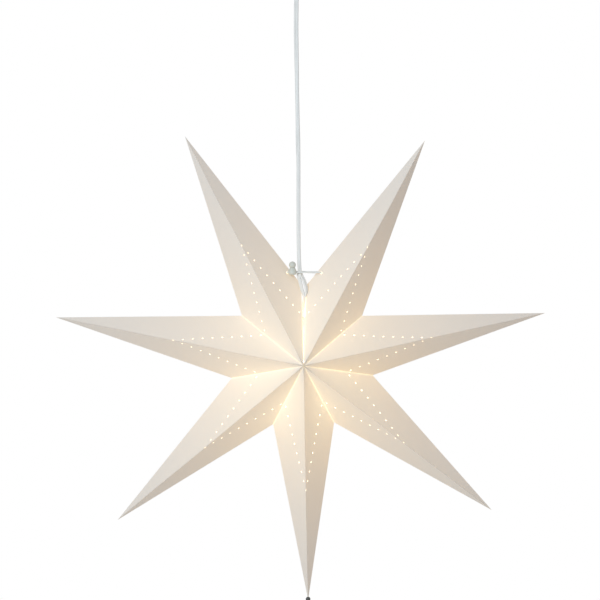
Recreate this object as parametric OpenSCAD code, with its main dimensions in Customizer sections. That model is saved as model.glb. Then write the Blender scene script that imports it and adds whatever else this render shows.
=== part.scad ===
// Seven-pointed advent star of folded card, hung on its lamp cord from a ceiling cup.
// The origin is the middle of the cup's ceiling face. +Z is up, and the star faces -Y.
// Each point is one folded sheet. The star stays closed with an elastic tie at its open seam.

/* [Star] */
// Distance from the star's centre to the tip of each point
tip_reach = 310; // [270:1:330]
// Distance from the star's centre to the foot of each valley
valley_reach = 91.5; // [84:0.5:100]
// Distance from the star's middle plane to its front and back apex
half_depth = 80; // [70:1:90]
// Thickness of the folded card
card = 0.4; // [0.3:0.05:0.6]
// Width of the glue flap that is folded inwards along each seam
flap_width = 8; // [5:0.5:9]
// Thickness of the glue between two neighbouring flaps
glue_film = 0.1; // [0.1:0.05:0.2]
// Height of the ceiling above the star's centre
star_drop = 520; // [515:1:525]
// Distance that the star's centre hangs to the right of the ceiling cup
star_shift = 2.7; // [1.7:0.1:3.2]

/* [Spread of each point, in degrees] */
// Bottom point
spread_bottom = 49.5; // [48:0.1:50]
// Lower right point
spread_lower_right = 49.5; // [48:0.1:50]
// Right point
spread_right = 49.2; // [48:0.1:50]
// Upper right point
spread_upper_right = 51.4; // [50:0.1:52]
// Upper left point
spread_upper_left = 54.2; // [53:0.1:54.5]
// Left point
spread_left = 51.4; // [50:0.1:52]
// Lower left point
spread_lower_left = 50.5; // [49:0.1:51]
// Lean of the bottom point to the right of plumb
bottom_lean = 0.9; // [0.5:0.1:1.2]

/* [Pin holes] */
// Diameter of a pin hole
pin_hole_dia = 2.2; // [1.6:0.1:3]
// Number of pin holes in a row, without the one on the ridge
pin_holes_per_row = 9; // [6:1:11]
// Distance along the ridge from the apex to the hole that two rows share
row_ridge_reach = 165; // [150:1:180]
// Distance along the seam from the apex to the line of a row
row_seam_reach = 74; // [70:1:78]
// Distance of a row's first hole from the seam
row_seam_margin = 5.5; // [4.5:0.5:8]

/* [Tie and tip bead] */
// Diameter of the elastic string
elastic_dia = 2.2; // [1.8:0.1:2.4]
// Diameter of the punched tie holes
tie_hole_dia = 3.4; // [3:0.1:4]
// Distance of a tie hole from the valley's foot, along the free edge
tie_hole_along = 23; // [21:0.5:25]
// Distance of a tie hole from the free edge
tie_hole_inset = 3.8; // [3.2:0.1:4.5]
// Distance of the toggle to the left of the star's centre
toggle_shift = 11; // [10.5:0.1:11.5]
// Distance of the toggle in front of the star's middle plane
toggle_stand = 10.2; // [10:0.1:11]
// Diameter of the toggle's bell
bell_dia = 10.6; // [9:0.2:11]
// Height of the toggle's bell
bell_height = 8.6; // [8:0.2:10]
// Diameter of the toggle's round knob
knob_dia = 8.6; // [7:0.2:9]
// Clearance round the elastic in the toggle
toggle_clearance = 0.3; // [0.2:0.05:0.5]
// Diameter of the dark bead on the bottom tip
tip_bead_dia = 6; // [5:0.5:8]
// Distance that the bottom tip goes into its bead
tip_bead_grip = 4; // [3:0.5:4.5]
// Clearance between the bottom tip and its bead
tip_bead_clearance = 0.1; // [0.05:0.05:0.2]

/* [Lamp] */
// Distance of the lampholder's top above the star's centre
holder_lift = 50; // [49:0.5:51]
// Outer diameter of the lampholder
holder_dia = 29; // [27:0.5:31]
// Wall thickness of the lampholder
holder_wall = 1.6; // [1.4:0.1:2]
// Height of the lampholder's cap
cap_height = 16; // [15:0.5:18]
// Length of the whole lampholder
holder_length = 52; // [46:1:54]
// Thickness of the plate that carries the contacts
carrier_thickness = 6; // [5:0.5:7]
// Height of the clamp that grips the cord
grip_height = 6; // [5:0.5:6.5]
// Diameter of the clamp's screw
grip_screw_dia = 3; // [2.5:0.5:3.5]
// Running clearance between the lampholder's pieces
holder_clearance = 0.2; // [0.1:0.05:0.3]
// Diameter of the bulb's screw cap
bulb_cap_dia = 13.9; // [13.6:0.1:14.1]
// Length of the bulb's screw cap with its contact
bulb_cap_length = 22; // [20:0.5:24]
// Diameter of the bulb's globe
globe_dia = 45; // [40:1:46]
// Length of the whole bulb
bulb_length = 78; // [74:1:80]
// Clearance between the bulb's cap and the screw shell
bulb_clearance = 0.25; // [0.15:0.05:0.4]
// Sheet thickness of the brass contacts
brass_thickness = 0.5; // [0.4:0.1:0.8]

/* [Cord] */
// Width of the flat twin cord
cord_width = 5.6; // [5:0.1:5.8]
// Thickness of the flat twin cord
cord_thickness = 2.8; // [2.4:0.1:3]
// Clearance round the cord where it passes a hole
cord_clearance = 0.4; // [0.3:0.05:0.6]

/* [Ceiling cup] */
// Diameter of the ceiling cup
cup_dia = 80; // [70:1:100]
// Height of the ceiling cup
cup_height = 42; // [40:1:46]
// Height of the cup's straight rim
cup_rim = 12; // [12:0.5:14]
// Diameter of the cup's flat underside
cup_flat_dia = 30; // [26:1:40]
// Wall thickness of the cup
cup_wall = 2; // [1.5:0.1:3]
// Thickness of the steel bracket
bracket_thickness = 1.5; // [1:0.1:2]
// Width of the steel bracket
bracket_width = 16; // [12:0.5:20]
// Depth of the bracket's bent ears
ear_depth = 11; // [9.5:0.5:11]
// Distance between the two ceiling screw holes
fixing_pitch = 50; // [46:1:54]
// Diameter of the ceiling screw holes
fixing_hole_dia = 4.5; // [4:0.1:5]
// Diameter of the two screws that hold the cup
cup_screw_dia = 3; // [2.5:0.5:3.5]
// Clearance round a screw in its hole
screw_clearance = 0.15; // [0.1:0.05:0.3]
// Outer diameter of the cord gland
gland_dia = 15; // [13:0.5:17]
// Height of the gland below the cup
gland_height = 16; // [12:0.5:17]
// Wall of the gland at its narrow lower end
gland_lip = 1.5; // [1:0.1:2.5]
// Diameter of the gland's threaded neck
gland_neck_dia = 10; // [9.5:0.1:11]
// Height of the nut that holds the gland
gland_nut_height = 5; // [4:0.5:6]
// Width of the nut across its flats
gland_nut_width = 14; // [13:0.5:16]
// Length of the terminal block
terminal_length = 20; // [18:0.5:24]
// Width of the terminal block
terminal_width = 16; // [14:0.5:18]
// Height of the terminal block
terminal_height = 12; // [11:0.5:14]
// Diameter of the terminal block's screws
terminal_screw_dia = 3; // [2.5:0.5:3.5]

/* [Hidden] */

paper = [0.95, 0.92, 0.86];
white_plastic = [0.93, 0.93, 0.91];
brass = [0.80, 0.65, 0.35];
steel = [0.75, 0.76, 0.78];
round_fn = 64;
hole_fn = 16;

cord_steps = 2;
cord_sides = 8;
elastic_sides = 10;
// Where the elastic's front run leaves the cord, to the right of the star's centre
cord_pass = 3;

function total(list, n) = n <= 0 ? 0 : list[n - 1] + total(list, n - 1);
right_spreads = [spread_lower_right, spread_right, spread_upper_right];
left_spreads = [spread_lower_left, spread_left, spread_upper_left];
// Direction of a point, in degrees from straight down and growing to the right
function aim_right(i) =
  bottom_lean + spread_bottom / 2 + total(right_spreads, i) + right_spreads[i] / 2;
function aim_left(i) =
  bottom_lean - spread_bottom / 2 - total(left_spreads, i) - left_spreads[i] / 2;

// A point is modelled with its tip along +X, the star's back towards +Y and its width along Z.
// Its four outer walls lie on the planes slope . [x, |y|, |z|] = slope.x * tip_reach.
function wall_slope(s) = [
  half_depth * valley_reach * sin(s / 2),
  tip_reach * valley_reach * sin(s / 2),
  half_depth * (tip_reach - valley_reach * cos(s / 2))
];
function wall_normal(s) = let (n = wall_slope(s)) [n.x, -n.y, n.z] / norm(n);
function valley_foot(s) = [valley_reach * cos(s / 2), 0, valley_reach * sin(s / 2)];
front_apex = [0, -half_depth, 0];
tip = [tip_reach, 0, 0];
function unit(v) = v / norm(v);
// Depth of the wall in front of the middle plane
function wall_depth(s, x, z) =
  let (n = wall_slope(s)) (n.x * (tip_reach - x) - n.z * abs(z)) / n.y;

// Place of a tie hole in an upper point
function tie_hole(s) =
  let (foot = valley_foot(s), edge = unit(tip - foot), inward = [edge.z, 0, -edge.x])
  foot + edge * tie_hole_along + inward * tie_hole_inset;
// A place in a point's own axes, turned into the star's axes
function in_star(p, aim) = [
  p.x * sin(aim) + p.z * cos(aim), p.y, -p.x * cos(aim) + p.z * sin(aim)
];
tie_right = in_star(tie_hole(spread_upper_right), aim_right(2));
tie_left_hole = tie_hole(spread_upper_left);
tie_left = in_star([tie_left_hole.x, 0, -tie_left_hole.z], aim_left(2));
tie_run = max(
  wall_depth(spread_upper_right, tie_hole(spread_upper_right).x, tie_hole(spread_upper_right).z),
  wall_depth(spread_upper_left, tie_left_hole.x, tie_left_hole.z)
) + elastic_dia / 2 + toggle_clearance;
tie_height = tie_left.z;
bell_base = tie_height - bell_height * 0.35;

cord_hole_dia = cord_width + 2 * cord_clearance;
carrier_gap = 1;
carrier_top = -cap_height - carrier_gap;
carrier_bottom = carrier_top - carrier_thickness;
carrier_dia = holder_dia - 4 * holder_wall - 2 * holder_clearance;
carrier_ledge = 1.8;
bulb_top = carrier_bottom - 2 * brass_thickness;
cup_screw_height = -ear_depth * 0.6;
cup_inner_r = cup_dia / 2 - cup_wall;
bracket_half = sqrt(pow(cup_inner_r, 2) - pow(bracket_width / 2, 2)) - holder_clearance;
terminal_top = -bracket_thickness;
terminal_screw_inset = terminal_length / 4;

// The twin cord's route: x, y, z and the turn of its wide side away from the star's plane,
// in degrees. The first list hangs from the ceiling and the second is measured from the star.
hanging_route = [
  [0, 0, terminal_top - terminal_height, 10],
  [0, 0, -30, 10],
  [0, 0, -45, 10],
  [0, 0, -60, 8],
  [0, 0, -78, 5],
  [-0.6, 0, -110, 0],
  [-0.6, 0, -137, 12],
  [-0.3, 0, -165, 35],
  [-0.2, 0, -190, 45],
  [0.2, 0, -233, 45],
  [0.6, 0, -277, 45],
  [0.2, 0, -322, 45],
  [-0.1, -1.5, -355, 45],
  [-0.1, -4, -385, 50]
];
star_route = [
  [-2.4, -5.5, 118, 60],
  [-1.5, -6, 106, 75],
  [1.1, -8, 96, 85],
  [2.9, -10, 87, 90],
  [3.3, -11.5, 79, 90],
  [2.7, -10.5, 72, 90],
  [1.6, -6.5, 64, 90],
  [0.5, -2, 57, 90],
  [0, 0, holder_lift + 1, 90],
  [0, 0, holder_lift - cord_width, 90],
  [0, 0, holder_lift + carrier_top, 90]
];
cord_route = concat(hanging_route, [for (p = star_route) p + [star_shift, 0, -star_drop, 0]]);

// Smooth curve through a list of points, with a few steps from each to the next
function spline_at(a, b, c, d, t) =
  0.5 * (2 * b + (c - a) * t + (2 * a - 5 * b + 4 * c - d) * t * t
  + (3 * b - a - 3 * c + d) * t * t * t);
function smooth(route, steps) = let (last = len(route) - 1) concat(
  [for (i = [0:last - 1], k = [0:steps - 1])
    spline_at(route[max(i - 1, 0)], route[i], route[i + 1], route[min(i + 2, last)], k / steps)],
  [route[last]]
);
function place(p) = [p[0], p[1], p[2]];
function heading(path, i) =
  unit(place(path[min(i + 1, len(path) - 1)]) - place(path[max(i - 1, 0)]));

// Sweeps an oval of the given width and thickness along a path of x, y, z and turn
module swept_string(path, width, thickness, sides, away) {
  rings = [for (i = [0:len(path) - 1])
    let (
      along = heading(path, i),
      side = unit(cross(away, along)),
      back = cross(along, side)
    )
    for (k = [0:sides - 1])
      let (a = 360 * k / sides, w = width / 2 * cos(a), t = thickness / 2 * sin(a), turn = path[i][3])
      place(path[i]) + side * (w * cos(turn) - t * sin(turn)) + back * (w * sin(turn) + t * cos(turn))
  ];
  last = (len(path) - 1) * sides;
  polyhedron(
    points = rings,
    faces = concat(
      [[for (k = [sides - 1:-1:0]) k]],
      [[for (k = [0:sides - 1]) last + k]],
      [for (i = [0:len(path) - 2], k = [0:sides - 1]) let (m = (k + 1) % sides, a = i * sides)
        each [[a + k, a + m, a + sides + k], [a + m, a + sides + m, a + sides + k]]]
    )
  );
}

module at_star() {
  translate([star_shift, 0, -star_drop]) children();
}

module at_holder() {
  translate([star_shift, 0, holder_lift - star_drop]) children();
}

// The space inside a point, drawn in from its walls and from its two open sides
module wedge(s, wall_inset, side_inset) {
  n = wall_slope(s);
  reach = n.x * tip_reach - wall_inset * norm(n);
  root = side_inset / sin(s / 2);
  depth = (reach - n.x * root) / n.y;
  foot = (reach + n.z * side_inset / cos(s / 2)) / (n.x + n.z * tan(s / 2));
  half = (foot * sin(s / 2) - side_inset) / cos(s / 2);
  polyhedron(
    points = [
      [root, -depth, 0], [root, depth, 0], [reach / n.x, 0, 0], [foot, 0, half], [foot, 0, -half]
    ],
    faces = [[3, 2, 0], [2, 3, 1], [2, 4, 0], [4, 2, 1], [1, 3, 0], [4, 1, 0]]
  );
}

module drill(at, direction, dia) {
  d = unit(direction);
  depth = 6 * card;
  translate(at)
    rotate([0, acos(d.z), atan2(d.y, d.x)])
      cylinder(d = dia, h = depth, center = true, $fn = hole_fn);
}

// The row of pin holes across one wall, from the shared hole on the ridge to the seam
module pin_row(s) {
  start = front_apex + unit(tip - front_apex) * row_ridge_reach;
  end = front_apex + unit(valley_foot(s) - front_apex) * row_seam_reach;
  row = end - start;
  step = (norm(row) - row_seam_margin) / pin_holes_per_row;
  for (i = [1:pin_holes_per_row]) drill(start + unit(row) * step * i, wall_normal(s), pin_hole_dia);
}

module pin_holes(s) {
  ridge_out = [half_depth, -tip_reach, 0];
  for (back = [0, 1]) mirror([0, back, 0]) {
    for (side = [0, 1]) mirror([0, 0, side]) pin_row(s);
    drill(front_apex + unit(tip - front_apex) * row_ridge_reach, ridge_out, pin_hole_dia);
  }
}

// One folded sheet: four walls round the tip and a glue flap along each seam
module folded_point(s, tie_side = 0) {
  n = wall_slope(s);
  seam_cos = (n.z * cos(s / 2) - n.x * sin(s / 2)) / norm(n);
  flap_inset = flap_width * sqrt(1 - pow(seam_cos, 2));
  open_margin = 2;
  color(paper) difference() {
    wedge(s, 0, glue_film / 2);
    wedge(s, card, glue_film / 2 + card);
    wedge(s, flap_inset, -open_margin);
    pin_holes(s);
    if (tie_side != 0) tie_bore(s, tie_side);
  }
}

module tie_bore(s, tie_side) {
  p = tie_hole(s);
  translate([p.x, 0, tie_side * p.z])
    rotate([90, 0, 0])
      cylinder(d = tie_hole_dia, h = half_depth, center = true, $fn = hole_fn);
}

module aimed(aim) {
  at_star() rotate([0, 90 - aim, 0]) children();
}

module point_bottom() {
  aimed(bottom_lean) folded_point(spread_bottom);
}

module point_lower_right() {
  aimed(aim_right(0)) folded_point(spread_lower_right);
}

module point_right() {
  aimed(aim_right(1)) folded_point(spread_right);
}

module point_upper_right() {
  aimed(aim_right(2)) folded_point(spread_upper_right, 1);
}

module point_upper_left() {
  aimed(aim_left(2)) folded_point(spread_upper_left, -1);
}

module point_left() {
  aimed(aim_left(1)) folded_point(spread_left);
}

module point_lower_left() {
  aimed(aim_left(0)) folded_point(spread_lower_left);
}

// The elastic's loop through the four tie holes. Its two ends meet inside the toggle.
module tie_elastic() {
  front_left = -toggle_shift - bell_dia / 2 - 2 * toggle_clearance;
  bend = elastic_dia * 0.5;
  half_gap = toggle_clearance / 2;
  loop = [
    [-toggle_shift - half_gap, -toggle_stand, tie_height, 0],
    [front_left, -toggle_stand, tie_height, 0],
    [tie_left.x, -tie_run, tie_left.z, 0],
    [tie_left.x, tie_run - bend, tie_left.z, 0],
    [tie_left.x + bend, tie_run, tie_left.z, 0],
    [tie_right.x - bend, tie_run, tie_right.z, 0],
    [tie_right.x, tie_run - bend, tie_right.z, 0],
    [tie_right.x, bend - tie_run, tie_right.z, 0],
    [tie_right.x - bend, -tie_run, tie_right.z, 0],
    [cord_pass, -toggle_stand, tie_height, 0],
    [-toggle_shift + half_gap, -toggle_stand, tie_height, 0]
  ];
  color("white") at_star()
    swept_string(loop, elastic_dia, elastic_dia, elastic_sides, [0, 0, 1]);
}

// The toggle that closes the elastic: a round knob on a bell, turned as one piece
module tie_toggle() {
  knob_centre = bell_height + knob_dia * 0.42;
  color(white_plastic) at_star() translate([-toggle_shift, -toggle_stand, 0]) difference() {
    translate([0, 0, bell_base]) union() {
      rotate_extrude($fn = round_fn) polygon([
        [0, 0],
        [bell_dia * 0.34, 0],
        [bell_dia * 0.46, bell_height * 0.12],
        [bell_dia * 0.5, bell_height * 0.32],
        [bell_dia * 0.47, bell_height * 0.55],
        [bell_dia * 0.4, bell_height * 0.78],
        [bell_dia * 0.3, bell_height],
        [0, bell_height]
      ]);
      translate([0, 0, knob_centre]) sphere(d = knob_dia, $fn = round_fn);
    }
    translate([0, 0, tie_height]) rotate([0, 90, 0])
      cylinder(d = elastic_dia + 2 * toggle_clearance, h = bell_dia + 2, center = true, $fn = hole_fn);
  }
}

module tip_bead() {
  color([0.22, 0.22, 0.2]) aimed(bottom_lean) difference() {
    translate([tip_reach - tip_bead_grip + tip_bead_dia / 2, 0, 0])
      rotate([0, 90, 0]) sphere(d = tip_bead_dia, $fn = round_fn);
    wedge(spread_bottom, -tip_bead_clearance, 0);
  }
}

module supply_cord() {
  color([0.9, 0.9, 0.9])
    swept_string(smooth(cord_route, cord_steps), cord_width, cord_thickness, cord_sides, [0, 1, 0]);
}

module holder_cap() {
  r = holder_dia / 2;
  inner = r - holder_wall;
  color(white_plastic) at_holder() rotate_extrude($fn = round_fn) polygon([
    [cord_hole_dia / 2, 0],
    [r * 0.5, 0],
    [r * 0.8, -cap_height * 0.16],
    [r, -cap_height * 0.5],
    [r, -cap_height],
    [inner, -cap_height],
    [inner, -cap_height * 0.52],
    [r * 0.8 - holder_wall, -cap_height * 0.27],
    [cord_hole_dia / 2, -holder_wall]
  ]);
}

module holder_shell() {
  r = holder_dia / 2;
  neck = r - holder_wall - holder_clearance;
  bore = neck - holder_wall + holder_clearance;
  neck_height = 4;
  taper = 1;
  color(white_plastic) at_holder() rotate_extrude($fn = round_fn) polygon([
    [bore, -cap_height + neck_height],
    [neck, -cap_height + neck_height],
    [neck, -cap_height],
    [r, -cap_height],
    [r, -holder_length + 4 * taper],
    [r - taper, -holder_length],
    [bore, -holder_length],
    [bore, carrier_bottom - carrier_ledge],
    [bore - carrier_ledge, carrier_bottom - carrier_ledge],
    [bore - carrier_ledge, carrier_bottom],
    [bore, carrier_bottom]
  ]);
}

module contact_carrier() {
  color([0.9, 0.88, 0.84]) at_holder() translate([0, 0, carrier_bottom])
    cylinder(d = carrier_dia, h = carrier_thickness, $fn = round_fn);
}

module screw_shell() {
  inner = bulb_cap_dia / 2 + bulb_clearance;
  shell_length = bulb_cap_length - 2;
  color(brass) at_holder() translate([0, 0, carrier_bottom - shell_length])
    difference() {
      cylinder(r = inner + brass_thickness, h = shell_length, $fn = round_fn);
      translate([0, 0, -1]) cylinder(r = inner, h = shell_length + 2, $fn = round_fn);
    }
}

module centre_contact() {
  color(brass) at_holder() translate([0, 0, bulb_top])
    cylinder(d = bulb_cap_dia / 2, h = carrier_bottom - bulb_top, $fn = round_fn);
}

module cord_grip() {
  width = 14;
  depth = 12;
  color(white_plastic) at_holder() translate([0, 0, carrier_top + grip_height / 2]) difference() {
    cube([width, depth, grip_height], center = true);
    cube([cord_thickness + 2 * cord_clearance, cord_hole_dia, grip_height + 2], center = true);
    rotate([0, -90, 0]) cylinder(d = grip_screw_dia + 2 * screw_clearance, h = width, $fn = hole_fn);
  }
}

module grip_screw() {
  screw_length = 6;
  color(steel) at_holder()
    translate([-cord_thickness / 2 - cord_clearance, 0, carrier_top + grip_height / 2])
      rotate([0, -90, 0]) cylinder(d = grip_screw_dia, h = screw_length, $fn = hole_fn);
}

module bulb() {
  globe_centre = globe_dia / 2 - bulb_length;
  contact_height = 3;
  contact_dia = bulb_cap_dia * 0.35;
  insulator_dia = bulb_cap_dia * 0.7;
  collar_dia = bulb_cap_dia * 0.98;
  shoulder_dia = globe_dia * 0.71;
  neck_top = -bulb_cap_length + 2;
  neck_bottom = globe_centre + globe_dia * 0.35;
  color([0.98, 0.93, 0.82]) at_holder() translate([0, 0, bulb_top]) union() {
    translate([0, 0, -contact_height])
      cylinder(d1 = insulator_dia, d2 = contact_dia, h = contact_height, $fn = round_fn);
    translate([0, 0, -bulb_cap_length])
      cylinder(d = bulb_cap_dia, h = bulb_cap_length - contact_height, $fn = round_fn);
    translate([0, 0, neck_bottom])
      cylinder(d1 = shoulder_dia, d2 = collar_dia, h = neck_top - neck_bottom, $fn = round_fn);
    translate([0, 0, globe_centre]) sphere(d = globe_dia, $fn = round_fn);
  }
}

// The cup's outline from its rim to its flat underside, with a quarter of an ellipse between
function cup_line(inset) = let (r = cup_dia / 2 - inset, flat = cup_flat_dia / 2, steps = 8) concat(
  [[r, 0]],
  [for (i = [0:steps]) let (a = 90 * i / steps)
    [flat + (r - flat) * cos(a), -cup_rim - (cup_height - inset - cup_rim) * sin(a)]]
);

module ceiling_cup() {
  neck = gland_neck_dia / 2 + screw_clearance;
  inner = cup_line(cup_wall);
  color(white_plastic) difference() {
    rotate_extrude($fn = round_fn) polygon(concat(
      cup_line(0),
      [[neck, -cup_height], [neck, -cup_height + cup_wall]],
      [for (i = [len(inner) - 1:-1:0]) inner[i]]
    ));
    translate([0, 0, cup_screw_height]) rotate([0, 90, 0])
      cylinder(d = cup_screw_dia + 2 * screw_clearance, h = cup_dia + 2, center = true, $fn = 24);
  }
}

module ceiling_bracket() {
  color(steel) difference() {
    union() {
      translate([-bracket_half, -bracket_width / 2, -bracket_thickness])
        cube([2 * bracket_half, bracket_width, bracket_thickness]);
      for (side = [0, 1]) mirror([side, 0, 0])
        translate([bracket_half - bracket_thickness, -bracket_width / 2, -ear_depth])
          cube([bracket_thickness, bracket_width, ear_depth]);
    }
    for (side = [-1, 1])
      translate([side * fixing_pitch / 2, 0, -bracket_thickness - 1])
        cylinder(d = fixing_hole_dia, h = bracket_thickness + 2, $fn = 32);
    translate([0, 0, cup_screw_height]) rotate([0, 90, 0])
      cylinder(d = cup_screw_dia + 2 * screw_clearance, h = cup_dia, center = true, $fn = 24);
  }
}

module cup_screws() {
  head_dia = 2 * cup_screw_dia;
  head_height = 2;
  shank = cup_dia / 2 - bracket_half + 2 * bracket_thickness;
  color(steel) for (side = [0, 1]) mirror([side, 0, 0])
    translate([cup_dia / 2, 0, cup_screw_height]) rotate([0, 90, 0]) union() {
      cylinder(d = head_dia, h = head_height, $fn = 32);
      translate([0, 0, -shank]) cylinder(d = cup_screw_dia, h = shank + 0.5 * head_height, $fn = 24);
    }
}

module ceiling_gland() {
  neck_height = cup_wall + gland_nut_height + 2;
  bottom_dia = cord_hole_dia + 2 * gland_lip;
  half_height = gland_height / 2;
  color(white_plastic) translate([0, 0, -cup_height]) difference() {
    union() {
      cylinder(d = gland_neck_dia, h = neck_height, $fn = round_fn);
      translate([0, 0, -half_height]) cylinder(d = gland_dia, h = half_height, $fn = round_fn);
      translate([0, 0, -gland_height])
        cylinder(d1 = bottom_dia, d2 = gland_dia, h = half_height, $fn = round_fn);
    }
    translate([0, 0, -gland_height - 1])
      cylinder(d = cord_hole_dia, h = gland_height + neck_height + 2, $fn = round_fn);
  }
}

module gland_nut() {
  hexagon = 6;
  across_corners = gland_nut_width / cos(180 / hexagon);
  color(white_plastic) translate([0, 0, -cup_height + cup_wall]) difference() {
    cylinder(d = across_corners, h = gland_nut_height, $fn = hexagon);
    translate([0, 0, -1])
      cylinder(d = gland_neck_dia + 2 * screw_clearance, h = gland_nut_height + 2, $fn = round_fn);
  }
}

module terminal_block() {
  bore_depth = 5;
  bore = terminal_screw_dia + 2 * screw_clearance;
  color(white_plastic) translate([0, 0, terminal_top]) difference() {
    translate([-terminal_length / 2, -terminal_width / 2, -terminal_height])
      cube([terminal_length, terminal_width, terminal_height]);
    for (side = [-1, 1], row = [-1, 1])
      translate([
        side * terminal_screw_inset, row * (terminal_width - bore_depth) / 2, -terminal_height / 2
      ])
        rotate([90, 0, 0]) cylinder(d = bore, h = bore_depth, center = true, $fn = hole_fn);
  }
}

module terminal_screws() {
  screw_length = 4;
  head_depth = 1;
  color(brass) translate([0, 0, terminal_top]) for (row = [0, 1]) mirror([0, row, 0])
    for (side = [-1, 1])
      translate([side * terminal_screw_inset, terminal_width / 2 - head_depth, -terminal_height / 2])
        rotate([90, 0, 0]) cylinder(d = terminal_screw_dia, h = screw_length, $fn = hole_fn);
}

point_bottom();
point_lower_right();
point_right();
point_upper_right();
point_upper_left();
point_left();
point_lower_left();
tie_elastic();
tie_toggle();
tip_bead();
supply_cord();
holder_cap();
holder_shell();
contact_carrier();
screw_shell();
centre_contact();
cord_grip();
grip_screw();
bulb();
ceiling_cup();
ceiling_bracket();
cup_screws();
ceiling_gland();
gland_nut();
terminal_block();
terminal_screws();
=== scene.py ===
import math

import bmesh
import bpy
from bpy.props import FloatProperty, FloatVectorProperty, IntProperty, PointerProperty
from mathutils import Matrix, Vector, noise


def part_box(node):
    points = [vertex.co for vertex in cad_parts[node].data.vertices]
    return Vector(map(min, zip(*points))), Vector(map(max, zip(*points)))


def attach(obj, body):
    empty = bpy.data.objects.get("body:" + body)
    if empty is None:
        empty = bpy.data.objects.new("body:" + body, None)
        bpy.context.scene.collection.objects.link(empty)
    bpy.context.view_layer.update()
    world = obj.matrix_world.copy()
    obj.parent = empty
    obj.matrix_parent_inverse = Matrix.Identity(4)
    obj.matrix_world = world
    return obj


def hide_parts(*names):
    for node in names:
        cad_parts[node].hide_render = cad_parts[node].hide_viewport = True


bl_info = {
    "name": "Paper Advent Star",
    "version": (1, 0, 0),
    "blender": (4, 5, 0),
    "location": "View3D > Sidebar > Advent Star",
    "description": "Dresses a folded card star, its lamp cord, its lampholder and its ceiling cup",
    "category": "Object",
}

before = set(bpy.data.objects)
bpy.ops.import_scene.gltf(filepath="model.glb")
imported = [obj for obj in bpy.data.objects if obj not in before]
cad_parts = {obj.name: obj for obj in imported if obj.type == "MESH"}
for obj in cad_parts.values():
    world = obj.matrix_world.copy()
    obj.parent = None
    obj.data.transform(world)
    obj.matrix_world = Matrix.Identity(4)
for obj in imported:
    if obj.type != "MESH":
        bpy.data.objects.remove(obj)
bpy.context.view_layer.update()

MM = 0.001
BODY = "root"
MATH = "ShaderNodeMath"
VECTOR_MATH = "ShaderNodeVectorMath"
POINTS = (
    "point_bottom",
    "point_lower_right",
    "point_right",
    "point_upper_right",
    "point_upper_left",
    "point_left",
    "point_lower_left",
)
# The bulb hangs on the star's axis, with its globe lowest
BULB_LOW, BULB_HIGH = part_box("bulb")
GLOBE_RADIUS = (BULB_HIGH.x - BULB_LOW.x) / 2
GLOBE_CENTRE = Vector(((BULB_LOW.x + BULB_HIGH.x) / 2, 0, BULB_LOW.z + GLOBE_RADIUS))
STAR_CENTRE = Vector((GLOBE_CENTRE.x, 0, -520 * MM))


def linear(colour):
    """Turns an sRGB hex colour such as F3EEE6 into linear red, green, blue and alpha."""
    parts = [int(colour[i : i + 2], 16) / 255 for i in (0, 2, 4)]
    return (*[p / 12.92 if p <= 0.04045 else ((p + 0.055) / 1.055) ** 2.4 for p in parts], 1)


def add_node(tree, kind, inputs=None, **settings):
    """Adds a node. An input is given a value, a socket, or a node whose first output it takes."""
    node = tree.nodes.new(kind)
    for name, value in settings.items():
        setattr(node, name, value)
    for name, value in (inputs or {}).items():
        if isinstance(value, bpy.types.Node):
            value = value.outputs[0]
        if isinstance(value, bpy.types.NodeSocket):
            tree.links.new(value, node.inputs[name])
        else:
            node.inputs[name].default_value = value
    return node


def new_material(name):
    """An empty material with its output node."""
    material = bpy.data.materials.new(name)
    material.use_nodes = True
    tree = material.node_tree
    tree.nodes.clear()
    return material, tree, add_node(tree, "ShaderNodeOutputMaterial")


def smooth_step(low, high, value):
    """0 below low, 1 above high and a smooth rise between them."""
    share = min(1, max(0, (value - low) / (high - low)))
    return share * share * (3 - 2 * share)


def finish_piece(obj, replaced=()):
    """Attaches a finished piece to its body and hides the nodes that it stands for."""
    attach(obj, BODY)
    if replaced:
        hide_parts(*replaced)
    return obj


def paint(node_name, material):
    """Gives a carried-over node its material."""
    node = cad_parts[node_name]
    node.data.materials.clear()
    node.data.materials.append(material)
    return node


def mesh_object(name, mesh, material):
    """An object at the origin for a mesh, in one material."""
    obj = bpy.data.objects.new(name, mesh)
    bpy.context.scene.collection.objects.link(obj)
    mesh.materials.clear()
    mesh.materials.append(material)
    return obj


def built_object(name, bm, material):
    """Turns finished bmesh geometry into an object with smooth faces."""
    for face in bm.faces:
        face.smooth = True
    mesh = bpy.data.meshes.new(name)
    bm.to_mesh(mesh)
    bm.free()
    return mesh_object(name, mesh, material)


def curve_through(points, steps):
    """A smooth curve through points of any number of values, with a few steps from each to the next."""
    ends = [points[0], *points, points[-1]]
    line = []
    for four in zip(ends, ends[1:], ends[2:], ends[3:]):
        for step in range(steps):
            t = step / steps
            spot = []
            for a, b, c, d in zip(*four):
                square, cube = 2 * a - 5 * b + 4 * c - d, 3 * b - a - 3 * c + d
                spot.append(0.5 * (2 * b + (c - a) * t + square * t**2 + cube * t**3))
            line.append(tuple(spot))
    return [*line, tuple(points[-1])]


def skin_rings(bm, rings, travel):
    """Closes a row of equal rings into a solid. Its UV map holds metres along it and turns round it."""
    uv = bm.loops.layers.uv.verify()
    rows = [[bm.verts.new(p) for p in ring] for ring in rings]
    count = len(rows[0])
    for i in range(len(rows) - 1):
        for k in range(count):
            after = (k + 1) % count
            face = bm.faces.new((rows[i][k], rows[i][after], rows[i + 1][after], rows[i + 1][k]))
            corners = ((i, k), (i, k + 1), (i + 1, k + 1), (i + 1, k))
            for loop, (row, turn) in zip(face.loops, corners):
                loop[uv].uv = (travel[row], turn / count)
    for row, ring in ((0, reversed(rows[0])), (-1, rows[-1])):
        for loop in bm.faces.new(list(ring)).loops:
            loop[uv].uv = (travel[row], 0)


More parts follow.
